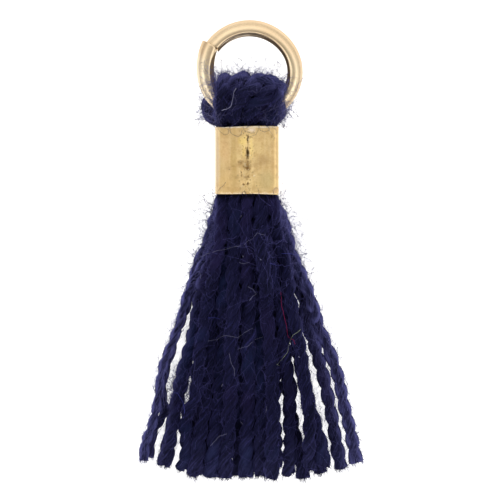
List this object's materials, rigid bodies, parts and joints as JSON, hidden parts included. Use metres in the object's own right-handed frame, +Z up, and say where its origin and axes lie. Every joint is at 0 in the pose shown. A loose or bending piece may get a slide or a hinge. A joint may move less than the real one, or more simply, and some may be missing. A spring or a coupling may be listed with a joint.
{
  "type": "tassel",
  "caption": "Short navy cotton tassel: yarn folded over a round brass jump ring, drawn through a folded gold crimp band and cut to loose twisted strands.",
  "frame": {"origin": "middle of the flat back of the crimp band, where the band lies on the surface", "axes": "+Y along the tassel from the strands towards the ring, +Z up from the surface towards the band's seam, +X to the right seen from the front"},
  "size_m": [0.0107, 0.0218, 0.0032],
  "materials": {
    "ring_brass": "polished pale gold-coloured brass wire, a little tarnished on the inner side",
    "band_gold": "rolled gold-coloured sheet, satin, worn and specked along the seam",
    "yarn_navy": "matt navy two-ply cotton yarn with a soft fuzz"
  },
  "bodies": {
    "root": {"jump_ring": "ring_brass", "crimp_band": "band_gold", "yarn": "yarn_navy"}
  },
  "joints": []
}
